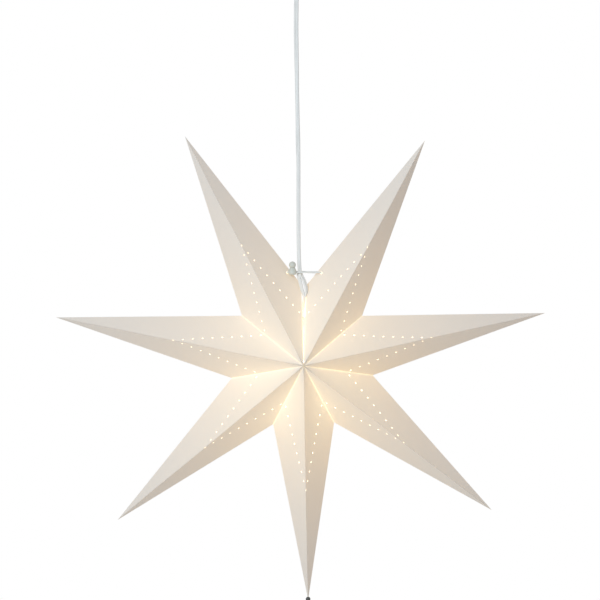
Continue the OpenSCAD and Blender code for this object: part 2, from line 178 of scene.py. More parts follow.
def lathe(bm, profile, x, y, segments):
    """Turns a profile of radius and height pairs round an upright axis. A radius of 0 closes a pole."""
    rows = []
    for radius, height in profile:
        turns = [math.tau * k / segments for k in range(segments if radius else 1)]
        rows.append(
            [bm.verts.new((x + radius * math.cos(a), y + radius * math.sin(a), height)) for a in turns]
        )
    for low, high in zip(rows, rows[1:]):
        for k in range(segments):
            places = ((low, k), (low, k + 1), (high, k + 1), (high, k))
            corners = [row[turn % len(row)] for row, turn in places]
            bm.faces.new(list(dict.fromkeys(corners)))
    bmesh.ops.recalc_face_normals(bm, faces=bm.faces)


def node_tree(name, sizes):
    """A Geometry Nodes tree with its named inputs. Each has a socket type."""
    tree = bpy.data.node_groups.new(name, "GeometryNodeTree")
    sockets = {"Geometry": "NodeSocketGeometry", **sizes, "Material": "NodeSocketMaterial"}
    for label, kind in sockets.items():
        tree.interface.new_socket(label, in_out="INPUT", socket_type=kind)
    tree.interface.new_socket("Geometry", in_out="OUTPUT", socket_type="NodeSocketGeometry")
    return tree, add_node(tree, "NodeGroupInput").outputs


def close_tree(tree, geometry, given):
    """Ends a tree with real geometry in its material."""
    smooth = add_node(tree, "GeometryNodeSetShadeSmooth", {"Geometry": geometry})
    real = add_node(tree, "GeometryNodeRealizeInstances", {"Geometry": smooth})
    dressed = add_node(
        tree, "GeometryNodeSetMaterial", {"Geometry": real, "Material": given["Material"]}
    )
    add_node(tree, "NodeGroupOutput", {"Geometry": dressed})
    return tree


def grow(name, tree, values, material, route=()):
    """Runs a tree on an empty mesh or on a route of points, and returns the plain mesh as an object."""
    host = bpy.data.meshes.new(name + "_host")
    host.from_pydata(list(route), [(i, i + 1) for i in range(len(route) - 1)], [])
    obj = bpy.data.objects.new(name, host)
    bpy.context.scene.collection.objects.link(obj)
    modifier = obj.modifiers.new("build", "NODES")
    modifier.node_group = tree
    values = {**values, "Material": material}
    for item in tree.interface.items_tree:
        if item.in_out == "INPUT" and item.name in values:
            modifier[item.identifier] = values[item.name]
    graph = bpy.context.evaluated_depsgraph_get()
    mesh = bpy.data.meshes.new_from_object(obj.evaluated_get(graph))
    obj.modifiers.remove(modifier)
    if not mesh.polygons:
        raise RuntimeError(name + " came out empty")
    obj.data = mesh
    mesh.materials.clear()
    mesh.materials.append(material)
    return obj


def rib_ring_tree():
    """Upright ribs with rounded ends, half sunk into a round wall."""
    tree, given = node_tree(
        "rib_ring",
        {
            "Ribs": "NodeSocketInt",
            "Wall Radius": "NodeSocketFloat",
            "Rib Radius": "NodeSocketFloat",
            "Rib Length": "NodeSocketFloat",
            "Centre": "NodeSocketVector",
        },
    )
    ring = add_node(
        tree, "GeometryNodeMeshCircle", {"Vertices": given["Ribs"], "Radius": given["Wall Radius"]}
    )
    placed = add_node(
        tree, "GeometryNodeTransform", {"Geometry": ring, "Translation": given["Centre"]}
    )
    rib = add_node(
        tree, "GeometryNodeMeshUVSphere", {"Segments": 10, "Rings": 8, "Radius": given["Rib Radius"]}
    )
    rib_width = add_node(tree, MATH, {0: given["Rib Radius"], 1: 2.0}, operation="MULTIPLY")
    stretch = add_node(tree, MATH, {0: given["Rib Length"], 1: rib_width}, operation="DIVIDE")
    size = add_node(tree, "ShaderNodeCombineXYZ", {"X": 1.0, "Y": 1.0, "Z": stretch})
    ribs = add_node(
        tree,
        "GeometryNodeInstanceOnPoints",
        {"Points": placed, "Instance": rib, "Scale": size},
    )
    return close_tree(tree, ribs.outputs[0], given)


def thread_tree():
    """A rolled thread: one round wire wound up a cylinder."""
    tree, given = node_tree(
        "rolled_thread",
        {
            "Turns": "NodeSocketFloat",
            "Thread Radius": "NodeSocketFloat",
            "Wire Radius": "NodeSocketFloat",
            "Rise": "NodeSocketFloat",
            "Foot": "NodeSocketVector",
        },
    )
    helix = add_node(
        tree,
        "GeometryNodeCurveSpiral",
        {
            "Resolution": 32,
            "Rotations": given["Turns"],
            "Start Radius": given["Thread Radius"],
            "End Radius": given["Thread Radius"],
            "Height": given["Rise"],
        },
    )
    wire = add_node(
        tree, "GeometryNodeCurvePrimitiveCircle", {"Resolution": 8, "Radius": given["Wire Radius"]}
    )
    thread = add_node(
        tree,
        "GeometryNodeCurveToMesh",
        {"Curve": helix, "Profile Curve": wire, "Fill Caps": True},
    )
    placed = add_node(
        tree, "GeometryNodeTransform", {"Geometry": thread, "Translation": given["Foot"]}
    )
    return close_tree(tree, placed.outputs[0], given)


def braid_tree():
    """Yarns wound both ways round a core, each over one and under the next."""
    tree, given = node_tree(
        "braid",
        {
            "Yarns": "NodeSocketInt",
            "Core Radius": "NodeSocketFloat",
            "Yarn Radius": "NodeSocketFloat",
            "Weave": "NodeSocketFloat",
            "Pitch": "NodeSocketFloat",
            "Step": "NodeSocketFloat",
        },
    )
    line = add_node(tree, "GeometryNodeMeshToCurve", {"Mesh": given["Geometry"]})
    line = add_node(
        tree, "GeometryNodeResampleCurve", {"Curve": line, "Length": given["Step"]}, mode="LENGTH"
    )
    yarns = add_node(
        tree,
        "GeometryNodeDuplicateElements",
        {"Geometry": line, "Amount": given["Yarns"]},
        domain="SPLINE",
    )
    index = yarns.outputs["Duplicate Index"]
    along = add_node(tree, "GeometryNodeSplineParameter").outputs["Length"]
    # Odd yarns wind one way and even yarns the other, and each pair starts its share further round
    odd = add_node(tree, MATH, {0: index, 1: 2.0}, operation="MODULO")
    way = add_node(tree, MATH, {0: odd, 1: 2.0, 2: -1.0}, operation="MULTIPLY_ADD")
    pair = add_node(tree, MATH, {0: index, 1: 2.0}, operation="DIVIDE")
    place = add_node(tree, MATH, {0: pair}, operation="FLOOR")
    share = add_node(tree, MATH, {0: 2 * math.tau, 1: given["Yarns"]}, operation="DIVIDE")
    start = add_node(tree, MATH, {0: place, 1: share}, operation="MULTIPLY")
    turns = add_node(tree, MATH, {0: along, 1: given["Pitch"]}, operation="DIVIDE")
    wound = add_node(tree, MATH, {0: way, 1: turns}, operation="MULTIPLY")
    turned = add_node(tree, MATH, {0: wound, 1: math.tau}, operation="MULTIPLY")
    angle = add_node(tree, MATH, {0: turned, 1: start}, operation="ADD")
    # A yarn rises and sinks once between two yarns that it crosses
    beat = add_node(tree, MATH, {0: turns, 1: given["Yarns"]}, operation="MULTIPLY")
    phase = add_node(tree, MATH, {0: beat, 1: math.pi}, operation="MULTIPLY")
    wave = add_node(tree, MATH, {0: phase}, operation="COSINE")
    signed = add_node(tree, MATH, {0: wave, 1: way}, operation="MULTIPLY")
    lift = add_node(tree, MATH, {0: signed, 1: given["Weave"]}, operation="MULTIPLY")
    reach = add_node(tree, MATH, {0: given["Core Radius"], 1: lift}, operation="ADD")
    normal = add_node(tree, "GeometryNodeInputNormal")
    tangent = add_node(tree, "GeometryNodeInputTangent")
    sideways = add_node(tree, VECTOR_MATH, {0: tangent, 1: normal}, operation="CROSS_PRODUCT")
    parts = []
    for direction, function in ((normal, "COSINE"), (sideways, "SINE")):
        part = add_node(tree, MATH, {0: angle}, operation=function)
        amount = add_node(tree, MATH, {0: reach, 1: part}, operation="MULTIPLY")
        parts.append(add_node(tree, VECTOR_MATH, {0: direction, "Scale": amount}, operation="SCALE"))
    offset = add_node(tree, VECTOR_MATH, dict(enumerate(parts)), operation="ADD")
    moved = add_node(
        tree, "GeometryNodeSetPosition", {"Geometry": yarns.outputs["Geometry"], "Offset": offset}
    )
    joined = add_node(tree, "GeometryNodeJoinGeometry")
    for curve, radius, sides in ((moved, given["Yarn Radius"], 6), (line, given["Core Radius"], 12)):
        ring = add_node(tree, "GeometryNodeCurvePrimitiveCircle", {"Resolution": sides, "Radius": radius})
        tube = add_node(
            tree,
            "GeometryNodeCurveToMesh",
            {"Curve": curve, "Profile Curve": ring, "Fill Caps": True},
        )
        tree.links.new(tube.outputs[0], joined.inputs[0])
    return close_tree(tree, joined.outputs[0], given)


class StageSettings(bpy.types.PropertyGroup):
    """Camera and studio light"""

    camera_distance: FloatProperty(
        name="Camera distance", description="From the camera to what it looks at", default=1.5, unit="LENGTH"
    )
    camera_lens: FloatProperty(name="Lens", description="Focal length in millimetres", default=72.2)
    key_power: FloatProperty(
        name="Key power", description="Power of the soft key light in watts", default=31.5
    )
    key_colour: FloatVectorProperty(
        name="Key colour",
        description="Colour of the key light, which is cool like daylight beside the lamp's warm light",
        subtype="COLOR",
        size=3,
        default=(0.76, 0.89, 1.0),
    )
    back_power: FloatProperty(name="Back power", description="Power of the soft light behind", default=6)
    room_light: FloatProperty(
        name="Room light", description="Strength of the light from all round", default=0.35
    )


class CardSettings(bpy.types.PropertyGroup):
    """The star's folded card"""

    colour: FloatVectorProperty(
        name="Card colour",
        description="Colour of the card's coated face",
        subtype="COLOR",
        size=4,
        default=linear("F1EEE9"),
    )
    slack: FloatProperty(
        name="Slack",
        description="How far the card bows out of its flat faces",
        default=0.7 * MM,
        unit="LENGTH",
    )
    wave: FloatProperty(
        name="Wave length",
        description="Distance between two bows of the card",
        default=60 * MM,
        unit="LENGTH",
    )
    thinness: FloatProperty(
        name="Thinness", description="Share of the light that goes through the card", default=0.1
    )


class LampSettings(bpy.types.PropertyGroup):
    """The lit bulb and the painted glow that it gives the card"""

    power: FloatProperty(name="Bulb light", description="Strength of the globe's light", default=6)
    colour: FloatVectorProperty(
        name="Light colour",
        description="Colour of the bulb's light",
        subtype="COLOR",
        size=4,
        default=(1.0, 0.86, 0.68, 1),
    )
    # Each glow below is painted light: an emission colour on the card, which is no lamp
    even_glow: FloatVectorProperty(
        name="Even glow",
        description="Glow of light that has bounced about inside the points, as far as their tips",
        subtype="COLOR",
        size=4,
        default=(0.024, 0.007, 0.0, 1),
    )
    spread_glow: FloatVectorProperty(
        name="Spread glow",
        description="Glow that weakens from the middle of the star outwards",
        subtype="COLOR",
        size=4,
        default=(0.215, 0.140, 0.025, 1),
    )
    spread_reach: FloatProperty(
        name="Spread reach",
        description="Distance over which the spread glow falls to a third",
        default=130 * MM,
        unit="LENGTH",
    )
    inside_glow: FloatVectorProperty(
        name="Inside glow",
        description="Light that the walls have on the lamp's side, which shows through the pin holes",
        subtype="COLOR",
        size=4,
        default=(0.62, 0.58, 0.48, 1),
    )
    near_glow: FloatVectorProperty(
        name="Near glow",
        description="Glow of light that reaches a wall straight from the globe",
        subtype="COLOR",
        size=4,
        default=(0.005, 0.025, 0.03, 1),
    )
    near_reach: FloatProperty(
        name="Near reach",
        description="Distance at which the near glow has its full strength",
        default=60 * MM,
        unit="LENGTH",
    )
    seam_glow: FloatVectorProperty(
        name="Seam glow",
        description="Glow of the light that leaks out along a seam",
        subtype="COLOR",
        size=4,
        default=(0.22, 0.18, 0.10, 1),
    )


class CordSettings(bpy.types.PropertyGroup):
    """The flat twin cord and the elastic tie"""

    core: FloatProperty(
        name="Core", description="Diameter of one core with its sheath", default=2.8 * MM, unit="LENGTH"
    )
    web: FloatProperty(
        name="Web",
        description="Thickness of the sheath between the two cores",
        default=1.0 * MM,
        unit="LENGTH",
    )
    elastic: FloatProperty(
        name="Elastic", description="Diameter of the elastic string", default=2.2 * MM, unit="LENGTH"
    )
    yarns: IntProperty(name="Yarns", description="Number of yarns round the elastic", default=8)


class HolderSettings(bpy.types.PropertyGroup):
    """The lampholder and the bulb's cap"""

    cap: FloatProperty(
        name="Bulb cap", description="Diameter of the bulb's screw cap", default=13.9 * MM, unit="LENGTH"
    )
    pitch: FloatProperty(
        name="Thread pitch",
        description="Rise of one turn of the bulb's thread",
        default=2.8 * MM,
        unit="LENGTH",
    )
    ribs: IntProperty(name="Grip ribs", description="Number of grip ribs round the lampholder", default=28)


SETTINGS = {
    "stage": StageSettings,
    "card": CardSettings,
    "lamp": LampSettings,
    "cord": CordSettings,
    "holder": HolderSettings,
}


class ADVENT_OT_stage(bpy.types.Operator):
    """Make the camera, the floor and the studio light"""

    bl_idname = "advent.stage"
    bl_label = "Stage"

    # Where the camera looks from and at, found from the star's tips and valleys
    azimuth = math.radians(-1.27)
    elevation = math.radians(4.37)
    roll = math.radians(-0.55)
    aim = STAR_CENTRE + Vector((-1.8, 0, 72.3)) * MM
    floor_drop = 1.15
    floor_radius = 2.0
    # Azimuth and elevation in degrees, then distance and size in metres
    key_place = (-19, 18, 2.4, 1.0)
    back_place = (150, 25, 2.4, 1.2)

    def camera(self, settings):
        """The camera, turned as the photograph's camera was."""
        data = bpy.data.cameras.new("camera")
        data.lens = settings.camera_lens
        data.sensor_width = 36
        obj = bpy.data.objects.new("camera", data)
        bpy.context.scene.collection.objects.link(obj)
        level = math.cos(self.elevation)
        back = Vector(
            (math.sin(self.azimuth) * level, -math.cos(self.azimuth) * level, math.sin(self.elevation))
        )
        obj.location = self.aim + back * settings.camera_distance
        turn = (-back).to_track_quat("-Z", "Y").to_matrix() @ Matrix.Rotation(self.roll, 3, "Z")
        obj.rotation_euler = turn.to_euler()
        bpy.context.scene.camera = obj

    def floor(self):
        """A round pale floor well below the star."""
        bm = bmesh.new()
        bmesh.ops.create_circle(bm, cap_ends=True, segments=96, radius=self.floor_radius)
        bmesh.ops.translate(bm, verts=bm.verts, vec=(0, 0, STAR_CENTRE.z - self.floor_drop))
        material, tree, output = new_material("matt_floor")
        place = add_node(tree, "ShaderNodeTexCoord").outputs["Object"]
        mottle = add_node(tree, "ShaderNodeTexNoise", {"Vector": place, "Scale": 6.0, "Detail": 3})
        tone = add_node(
            tree,
            "ShaderNodeMix",
            {"Factor": mottle, 6: linear("F2F1EF"), 7: linear("F6F5F3")},
            data_type="RGBA",
        )
        shader = add_node(tree, "ShaderNodeBsdfPrincipled", {"Base Color": tone.outputs[2], "Roughness": 0.9})
        tree.links.new(shader.outputs[0], output.inputs["Surface"])
        built_object("floor", bm, material)

    def room(self, settings):
        """Even room light, which the camera, metal and glass see as plain white."""
        world = bpy.data.worlds.new("studio")
        bpy.context.scene.world = world
        world.use_nodes = True
        tree = world.node_tree
        tree.nodes.clear()
        path = add_node(tree, "ShaderNodeLightPath").outputs
        seen = path["Is Camera Ray"]
        for ray in ("Is Glossy Ray", "Is Transmission Ray"):
            seen = add_node(tree, MATH, {0: seen, 1: path[ray]}, operation="MAXIMUM")
        strength = add_node(
            tree, "ShaderNodeMapRange", {"Value": seen, "To Min": settings.room_light, "To Max": 1.0}
        )
        shader = add_node(
            tree, "ShaderNodeBackground", {"Color": (1, 1, 1, 1), "Strength": strength.outputs["Result"]}
        )
        output = add_node(tree, "ShaderNodeOutputWorld")
        tree.links.new(shader.outputs[0], output.inputs["Surface"])

    def soft_light(self, name, power, colour, azimuth, elevation, distance, size):
        """A round soft light that looks at the star."""
        data = bpy.data.lights.new(name, "AREA")
        data.shape = "DISK"
        data.size = size
        data.energy = power
        data.color = colour
        obj = bpy.data.objects.new(name, data)
        bpy.context.scene.collection.objects.link(obj)
        azimuth, elevation = math.radians(azimuth), math.radians(elevation)
        level = math.cos(elevation)
        back = Vector((math.sin(azimuth) * level, -math.cos(azimuth) * level, math.sin(elevation)))
        obj.location = STAR_CENTRE + back * distance
        obj.rotation_euler = (-back).to_track_quat("-Z", "Y").to_euler()

    def execute(self, context):
        settings = context.scene.advent_stage
        context.scene.view_settings.view_transform = "Standard"
        self.camera(settings)
        self.floor()
        self.room(settings)
        self.soft_light("key_light", settings.key_power, settings.key_colour, *self.key_place)
        self.soft_light("back_light", settings.back_power, (1, 1, 1), *self.back_place)
        return {"FINISHED"}


def soft_pvc():
    """Soft white PVC, extruded over two cores. It has a dull shine, and fine lines run along it."""
    material, tree, output = new_material("soft_white_pvc")
    along = add_node(tree, "ShaderNodeTexCoord").outputs["UV"]
    # Die lines every 0.4 mm round the cord, which hold for about 60 mm along it
    lines = add_node(
        tree, "ShaderNodeMapping", {"Vector": along, "Scale": (1 / (60 * MM), 22.0, 1.0)}, vector_type="POINT"
    )
    streaks = add_node(tree, "ShaderNodeTexNoise", {"Vector": lines, "Scale": 1.0, "Detail": 3})
    place = add_node(tree, "ShaderNodeTexCoord").outputs["Object"]
    dust = add_node(tree, "ShaderNodeTexNoise", {"Vector": place, "Scale": 1 / (18 * MM), "Detail": 3})
    tone = add_node(
        tree,
        "ShaderNodeMix",
        {"Factor": dust, 6: linear("E3E0DB"), 7: linear("EFECE7")},
        data_type="RGBA",
    )
    gloss = add_node(
        tree, "ShaderNodeMapRange", {"Value": streaks, "To Min": 0.34, "To Max": 0.5}
    )
    bump = add_node(
        tree,
        "ShaderNodeBump",
        {"Height": streaks, "Strength": 0.5, "Distance": 0.03 * MM},
    )
    shader = add_node(
        tree,
        "ShaderNodeBsdfPrincipled",
        {
            "Base Color": tone.outputs[2],
            "Roughness": gloss,
            "IOR": 1.53,
            "Normal": bump,
        },
    )
    tree.links.new(shader.outputs[0], output.inputs["Surface"])
    return material


class ADVENT_OT_cord(bpy.types.Operator):
    """Lay the flat twin cord from the ceiling cup to the lampholder"""

    bl_idname = "advent.cord"
    bl_label = "Supply cord"

    # x, y and z in metres, and the turn of the wide side in degrees. The first list hangs from
    # the ceiling, the second is measured from the star.
    hanging_route = (
        (0, 0, -0.0135, 10),
        (0, 0, -0.030, 10),
        (0, 0, -0.045, 10),
        (0, 0, -0.060, 8),
        (0, 0, -0.078, 5),
        (-0.0006, 0, -0.110, 0),
        (-0.0006, 0, -0.137, 12),
        (-0.0003, 0, -0.165, 35),
        (-0.0002, 0, -0.190, 45),
        (0.0002, 0, -0.233, 40),
        (0.0003, 0, -0.250, 18),
        (0.0004, 0, -0.262, 28),
        (0.0006, 0, -0.277, 45),
        (0.0002, 0, -0.322, 45),
        (-0.0001, -0.0015, -0.355, 45),
        (-0.0001, -0.004, -0.385, 45),
    )
    star_route = (
        (-0.0024, -0.0055, 0.118, 45),
        (-0.0015, -0.006, 0.106, 45),
        (0.0011, -0.008, 0.096, 60),
        (0.0029, -0.010, 0.087, 80),
        (0.0033, -0.0115, 0.079, 90),
        (0.0027, -0.0105, 0.072, 90),
        (0.0016, -0.0065, 0.064, 90),
        (0.0005, -0.002, 0.057, 90),
        (0, 0, 0.051, 90),
        (0, 0, 0.0444, 90),
        (0, 0, 0.033, 90),
    )
    # The loop under the elastic: height above the star's centre, the sideways place of each of
    # its two passes beside the route, and the turn of both
    loop = (
        (0.1065, -0.0010, 0.0006, 50),
        (0.1030, -0.0026, 0.0010, 50),
        (0.0980, -0.0029, 0.0024, 50),
        (0.0920, -0.0029, 0.0030, 52),
        (0.0860, -0.0026, 0.0031, 56),
        (0.0820, -0.0015, 0.0025, 66),
        (0.0770, 0.0, 0.0010, 85),
    )
    steps = 7
    lobe_sides = 11
    # The loop's passes are a little thinner than the cord, so that no surface lies in another
    loop_share = 0.995

    def section(self, place, wide, thin, core, web):
        """The outline of the flat cord: two round lobes with a thin web between them."""
        waist = math.asin(web / core)
        ring = []
        for lobe in (1, -1):
            for k in range(self.lobe_sides):
                a = (waist - math.pi) + 2 * (math.pi - waist) * k / (self.lobe_sides - 1)
                across = lobe * core / 2 * (1 + math.cos(a))
                ring.append(place + wide * across + thin * lobe * core / 2 * math.sin(a))
        return ring

    def run(self, bm, line, core, web):
        """One run of flat cord along a line of places with turns. Gives back its length."""
        spots = [Vector(p[:3]) for p in line]
        travel = [0]
        for here, after in zip(spots, spots[1:]):
            travel.append(travel[-1] + (after - here).length)
        rings = []
        for i, spot in enumerate(spots):
            along = (spots[min(i + 1, len(spots) - 1)] - spots[max(i - 1, 0)]).normalized()
            side = Vector((0, 1, 0)).cross(along).normalized()
            angle = math.radians(line[i][3])
            wide = side * math.cos(angle) + along.cross(side) * math.sin(angle)
            rings.append(self.section(spot, wide, along.cross(wide), core, web))
        skin_rings(bm, rings, travel)
        return travel[-1]

    def execute(self, context):
        settings = context.scene.advent_cord
        core, web = settings.core, settings.web
        lower = [(x + STAR_CENTRE.x, y, z + STAR_CENTRE.z, turn) for x, y, z, turn in self.star_route]
        line = curve_through([*self.hanging_route, *lower], self.steps)
        heights = [p[2] - STAR_CENTRE.z for p in line]
        first = next(i for i, z in enumerate(heights) if z < self.loop[0][0])
        last = next(i for i, z in enumerate(heights) if z < self.loop[-1][0])
        bm = bmesh.new()
        self.run(bm, line[: first + 2], core, web)
        self.run(bm, line[last - 2 :], core, web)
        shape = curve_through(self.loop, self.steps)
        for way in (1, 2):
            passing = []
            for x, y, z, _ in line[first : last + 1]:
                spot = min(shape, key=lambda row: abs(row[0] - (z - STAR_CENTRE.z)))
                passing.append((x + spot[way], y, z, spot[3] if way == 1 else 180 - spot[3]))
            self.run(bm, passing, core * self.loop_share, web)
        bmesh.ops.recalc_face_normals(bm, faces=bm.faces)
        cord = built_object("twin_cord", bm, soft_pvc())
        finish_piece(cord, ["supply_cord"])
        path = [p[:3] for p in line]
        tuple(path[0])
        sum((Vector(b) - Vector(a)).length for a, b in zip(path, path[1:]))
        return {"FINISHED"}


# Distances from a seam at which its painted bright line of glow has its full strength and none, and the same
# for the darker line along a ridge, which is partly wear and partly painted shade
SEAM_LINE = (0.1 * MM, 1.6 * MM)
RIDGE_LINE = (0.2 * MM, 1.0 * MM)
# Distance from the star's axis within which painted shade dims the card's painted glow, at the apex where the
# folds crowd, and the share of the glow left on the axis
APEX_SHADE_REACH = 26 * MM
APEX_SHADE_SHARE = 0.6
# Distances from the axis between which a ridge's darkening, partly wear and partly painted shade, falls to
# its share further out
RIDGE_WEAR_AND_SHADE_SPAN = (1.5 * MM, 16 * MM)
RIDGE_WEAR_AND_SHADE_SHARE = 0.3
# Share of the card's colour that is left where a ridge is darkest, with wear and painted shade
RIDGE_WEAR_AND_SHADE_TONE = 0.7
# Painted light inside the star that doesn't weaken outwards, as a share of what does
STEADY_SHARE = 0.35


def card_material(card, lamp):
    """White coated folding card. The coat is matt, and the lamp's light behind it is painted on as emission:
    a painted glow.
    """
    material, tree, output = new_material("white_folding_card")
    place = add_node(tree, "ShaderNodeTexCoord").outputs["Object"]
    # Clouds of thick and thin fibre, about 9 mm across, that show when light comes through
    clouds = add_node(
        tree, "ShaderNodeTexNoise", {"Vector": place, "Scale": 1 / (9 * MM), "Detail": 4, "Roughness": 0.6}
    )
    # The coat's grain is about 0.3 mm on real card, and is drawn at 1.4 mm so that it shows
    grain = add_node(
        tree, "ShaderNodeTexNoise", {"Vector": place, "Scale": 1 / (1.4 * MM), "Detail": 3, "Roughness": 0.7}
    )
    bump = add_node(tree, "ShaderNodeBump", {"Height": grain, "Strength": 0.12, "Distance": 0.2 * MM})

    # Painted light from the globe: an emission that weakens with distance and is strongest on walls that face
    # it
    from_lamp = add_node(tree, VECTOR_MATH, {0: place, 1: tuple(GLOBE_CENTRE)}, operation="SUBTRACT")
    distance = add_node(tree, VECTOR_MATH, {0: from_lamp}, operation="LENGTH").outputs["Value"]
    decay = add_node(tree, MATH, {0: distance, 1: -1 / lamp.spread_reach}, operation="MULTIPLY")
    fall = add_node(tree, MATH, {0: decay}, operation="EXPONENT")
    normal = add_node(tree, "ShaderNodeNewGeometry").outputs["Normal"]
    ray = add_node(tree, VECTOR_MATH, {0: from_lamp}, operation="NORMALIZE")
    outward = add_node(tree, VECTOR_MATH, {0: normal, 1: ray}, operation="DOT_PRODUCT").outputs["Value"]
    facing = add_node(tree, MATH, {0: outward}, operation="ABSOLUTE")
    ratio = add_node(tree, MATH, {0: lamp.near_reach, 1: distance}, operation="DIVIDE")
    spread = add_node(tree, MATH, {0: ratio, 1: 2.0}, operation="POWER")
    near = add_node(tree, MATH, {0: facing, 1: spread}, operation="MULTIPLY")

    # A painted bright line of glow along each seam, and a darker line along each ridge that is partly wear
    # and partly painted shade
    away = []
    for name in ("seam_before", "seam_after", "ridge"):
        attribute = add_node(tree, "ShaderNodeAttribute", attribute_name=name).outputs["Fac"]
        away.append(add_node(tree, MATH, {0: attribute}, operation="ABSOLUTE"))
    seam = add_node(tree, MATH, {0: away[0], 1: away[1]}, operation="MINIMUM")
    leak, crease = [
        add_node(
            tree,
            "ShaderNodeMapRange",
            {"Value": reach, "From Min": full, "From Max": none, "To Min": 1.0, "To Max": 0.0},
            interpolation_type="SMOOTHSTEP",
        )
        for reach, (full, none) in ((seam, SEAM_LINE), (away[2], RIDGE_LINE))
    ]

    # Painted shade at the apex, where the folds crowd together: the painted glow is dimmed towards the axis
    flat = add_node(tree, VECTOR_MATH, {0: from_lamp, 1: (1, 0, 1)}, operation="MULTIPLY")
    rise = (0, 0, STAR_CENTRE.z - GLOBE_CENTRE.z)
    sideways = add_node(tree, VECTOR_MATH, {0: flat, 1: rise}, operation="SUBTRACT")
    from_axis = add_node(tree, VECTOR_MATH, {0: sideways}, operation="LENGTH").outputs["Value"]
    apex_shaded_share = add_node(
        tree,
        "ShaderNodeMapRange",
        {"Value": from_axis, "From Min": 0.0, "From Max": APEX_SHADE_REACH, "To Min": APEX_SHADE_SHARE, "To Max": 1.0},
        interpolation_type="SMOOTHSTEP",
    )
    cloud_tint = add_node(tree, "ShaderNodeMapRange", {"Value": clouds, "To Min": 0.94, "To Max": 1.06})
    # Walls that look at the lamp get a painted glow as if lit by it, which shows through the pin holes
    inner = add_node(
        tree,
        "ShaderNodeMapRange",
        {"Value": outward, "From Min": -0.02, "From Max": 0.02, "To Min": 1.0, "To Max": 0.0},
    )
    steady = add_node(tree, MATH, {0: fall, 1: STEADY_SHARE}, operation="ADD")
    inside = add_node(tree, MATH, {0: inner, 1: steady}, operation="MULTIPLY")
    # The fibre clouds and the painted shade at the apex scale every glow term
    cloud_and_apex_shade = add_node(tree, MATH, {0: cloud_tint, 1: apex_shaded_share}, operation="MULTIPLY")
    # Painted light along each seam: an emission line for the light that leaks out there
    leaking = add_node(tree, MATH, {0: leak, 1: fall}, operation="MULTIPLY")
    # All of the card's glow is painted light, summed into its emission
    light = None
    for strength, colour in (
        (1.0, lamp.even_glow),
        (fall, lamp.spread_glow),
        (near, lamp.near_glow),
        (leaking, lamp.seam_glow),
        (inside, lamp.inside_glow),
    ):
        amount = add_node(tree, MATH, {0: strength, 1: cloud_and_apex_shade}, operation="MULTIPLY")
        term = add_node(tree, VECTOR_MATH, {0: tuple(colour)[:3], "Scale": amount}, operation="SCALE")
        if light is None:
            light = term
        else:
            light = add_node(tree, VECTOR_MATH, {0: light, 1: term}, operation="ADD")

    near_apex = add_node(
        tree,
        "ShaderNodeMapRange",
        {"Value": from_axis, "From Min": RIDGE_WEAR_AND_SHADE_SPAN[0], "From Max": RIDGE_WEAR_AND_SHADE_SPAN[1], "To Min": 1.0, "To Max": RIDGE_WEAR_AND_SHADE_SHARE},
    )
    # Darker along each ridge near the apex: partly a worn coat, partly painted shade in the creases
    wear_and_shade = add_node(tree, MATH, {0: crease, 1: near_apex}, operation="MULTIPLY")
    worn_and_shaded = tuple(RIDGE_WEAR_AND_SHADE_TONE * part for part in tuple(card.colour)[:3])
    surface = add_node(
        tree, "ShaderNodeMix", {"Factor": wear_and_shade, 6: tuple(card.colour), 7: (*worn_and_shaded, 1)}, data_type="RGBA"
    ).outputs[2]
    face = add_node(
        tree,
        "ShaderNodeBsdfPrincipled",
        {
            "Base Color": surface,
            "Roughness": 0.62,
            "Specular IOR Level": 0.3,
            "Normal": bump,
            "Emission Color": light,
            "Emission Strength": 1.0,
        },
    )
    through = add_node(
        tree, "ShaderNodeMix", {"Factor": clouds, 6: linear("FFF0DC"), 7: linear("F6DFC0")}, data_type="RGBA"
    )
    glow = add_node(tree, "ShaderNodeBsdfTranslucent", {"Color": through.outputs[2], "Normal": bump})
    shader = add_node(tree, "ShaderNodeMixShader", {0: card.thinness, 1: face, 2: glow})
    tree.links.new(shader.outputs[0], output.inputs["Surface"])
    return material


